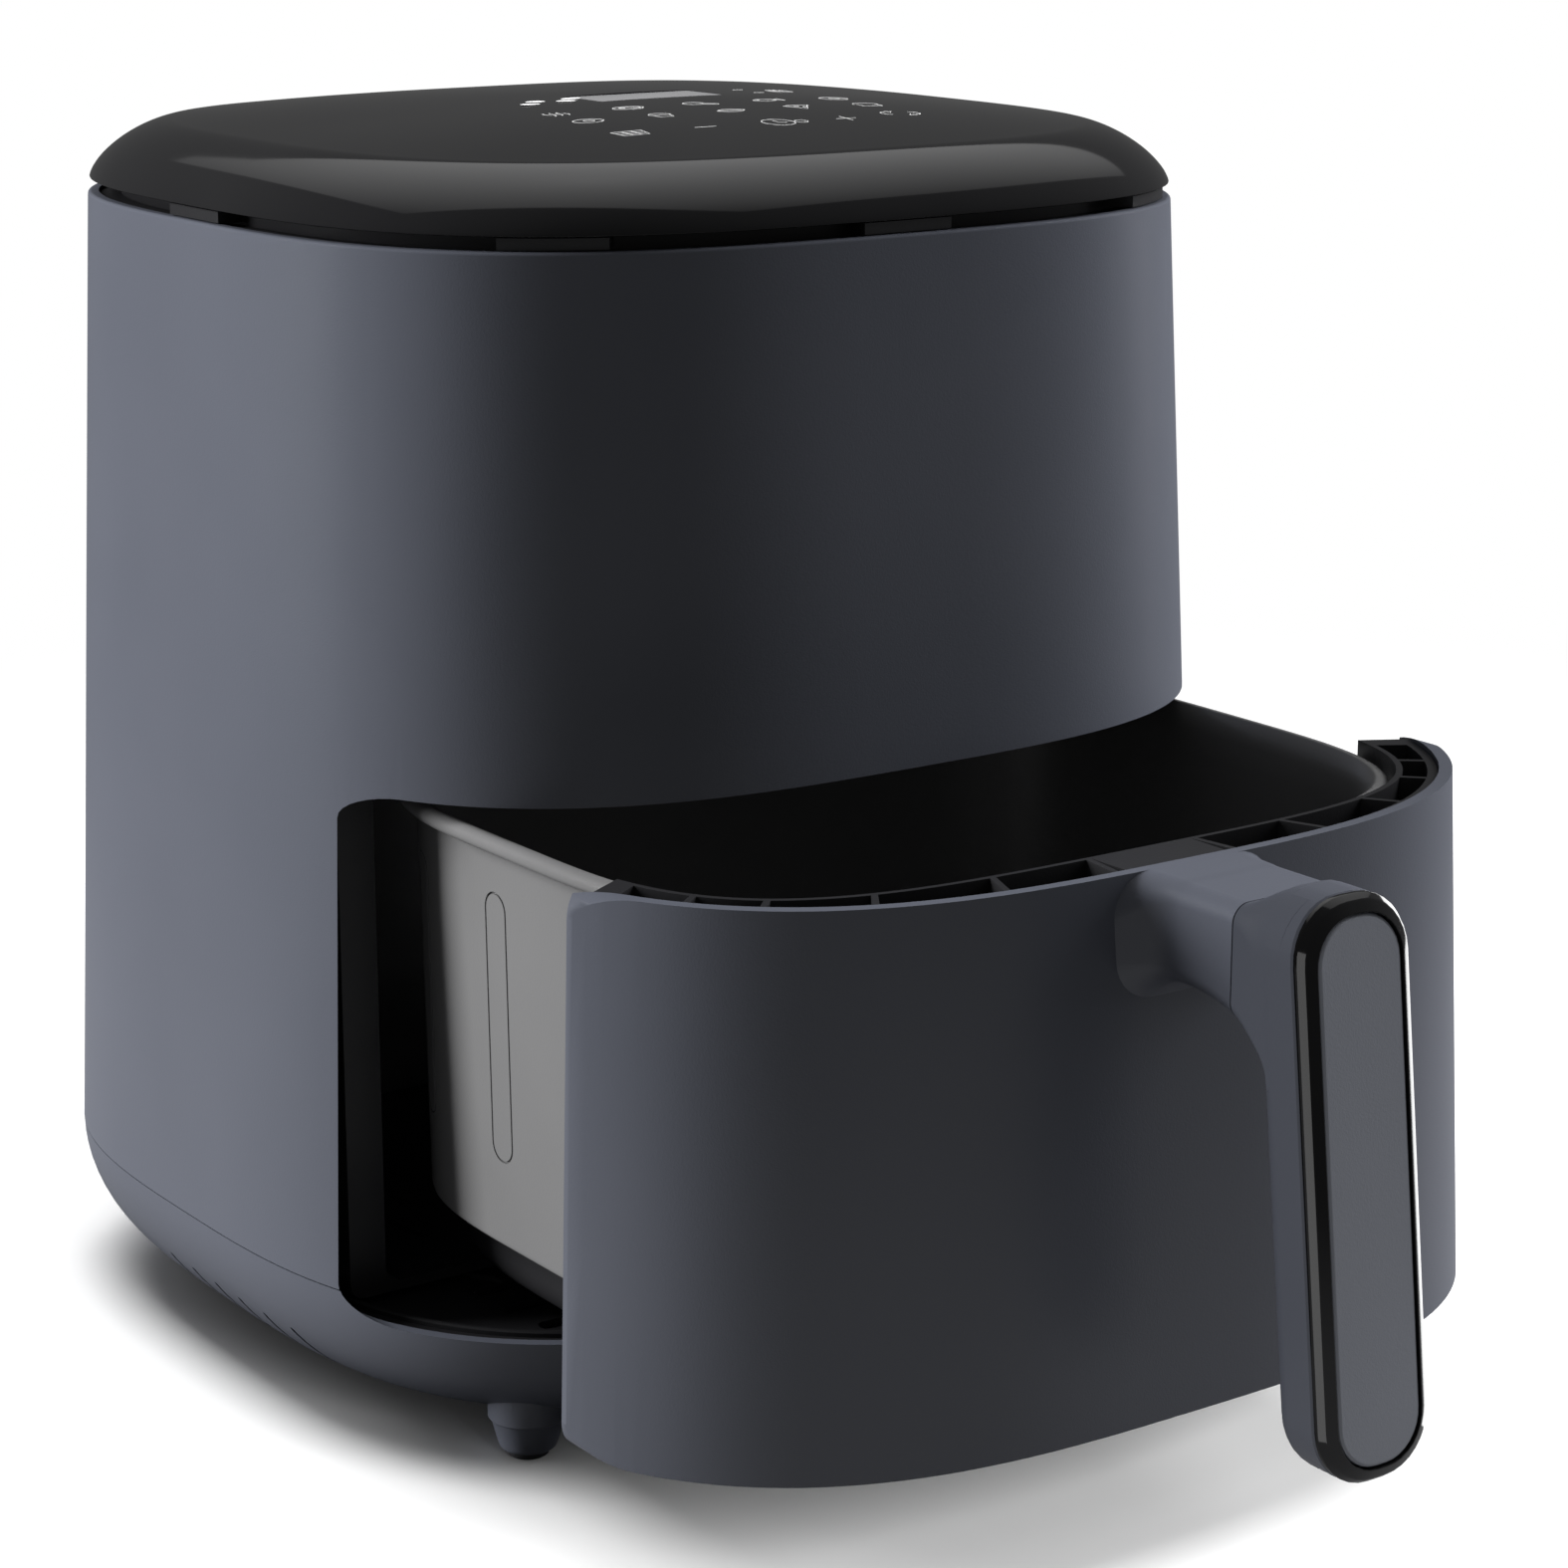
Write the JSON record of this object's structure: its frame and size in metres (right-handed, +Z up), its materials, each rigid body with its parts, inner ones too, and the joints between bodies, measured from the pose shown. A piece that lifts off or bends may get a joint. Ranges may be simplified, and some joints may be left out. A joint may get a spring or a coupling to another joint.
{
  "type": "air fryer",
  "caption": "Worktop air fryer with a curved pull-out drawer, a coated pot with a lift-out grid, an upright handle, and touch controls in a domed lid.",
  "frame": {"origin": "on the surface it stands on, under the middle of the whole object with its drawer drawn part way out as at rest", "axes": "+Z up, -Y towards the user who stands in front of the drawer, +X to that user's right"},
  "size_m": [0.281, 0.4444, 0.3297],
  "materials": {
    "slate_plastic": "satin moulded plastic, slate grey with a blue cast",
    "gloss_black": "polished black plastic",
    "black_plastic": "fine-grained black moulded plastic",
    "pot_coating": "dark grey non-stick coating on sheet metal",
    "display_glass": "grey display window",
    "rubber_black": "matt black rubber",
    "bright_steel": "plain sheet and turned steel",
    "heater_steel": "heat-darkened steel sheath",
    "board_green": "glass-epoxy circuit board",
    "wire_insulation": "glass-fibre and silicone wire sleeve",
    "magnet_nickel": "nickel-plated magnet"
  },
  "bodies": {
    "housing": {"base_screw_front_left": "bright_steel", "base_screw_front_right": "bright_steel", "base_screw_rear_left": "bright_steel", "base_screw_rear_right": "bright_steel", "base_tray": "slate_plastic", "control_board": "board_green", "cord_gland": "black_plastic", "display_lens": "display_glass", "display_module": "black_plastic", "floor_plate": "black_plastic", "foot_pad_front_left": "rubber_black", "foot_pad_front_right": "rubber_black", "foot_pad_rear_left": "rubber_black", "foot_pad_rear_right": "rubber_black", "front_flange": "black_plastic", "heat_reflector": "bright_steel", "heater_element": "heater_steel", "heater_guard": "bright_steel", "heater_lead_inner": "wire_insulation", "heater_lead_outer": "wire_insulation", "inner_chamber": "bright_steel", "left_rail": "black_plastic", "lid_cover": "gloss_black", "lid_tray": "black_plastic", "mains_lead": "rubber_black", "motor_bracket": "bright_steel", "motor_housing": "bright_steel", "motor_lead": "wire_insulation", "outer_shell": "slate_plastic", "power_board": "board_green", "rear_grille": "black_plastic", "reed_switch": "black_plastic", "ribbon_cable": "wire_insulation", "right_rail": "black_plastic", "temperature_probe": "bright_steel", "thermal_cutout": "black_plastic", "vent_ring": "black_plastic"},
    "drawer": {"drawer_front": "slate_plastic", "drawer_frame": "black_plastic", "drawer_magnet": "magnet_nickel", "pot": "pot_coating", "handle_bezel": "gloss_black", "handle_insert": "slate_plastic", "handle_grip": "slate_plastic", "handle_screw_left": "bright_steel", "handle_screw_right": "bright_steel"},
    "grid": {"crisper_grid": "pot_coating", "grid_bumper_front_left": "rubber_black", "grid_bumper_front_right": "rubber_black", "grid_bumper_rear_left": "rubber_black", "grid_bumper_rear_right": "rubber_black"},
    "fan": {"motor_shaft": "bright_steel", "convection_fan": "bright_steel", "cooling_fan": "black_plastic", "fan_nut": "bright_steel"}
  },
  "joints": [
    {"name": "drawer_slide", "type": "slide", "parent": "housing", "child": "drawer", "axis": [0, -1, 0], "range_m": [-0.1025, 0.09]},
    {"name": "grid_lift", "type": "slide", "parent": "drawer", "child": "grid", "axis": [0, 0, 1], "range_m": [0, 0.1]},
    {"name": "fan_spin", "type": "hinge", "parent": "housing", "child": "fan", "pos_m": [0, 0.06214, 0.2], "axis": [0, 0, 1], "continuous": true}
  ]
}
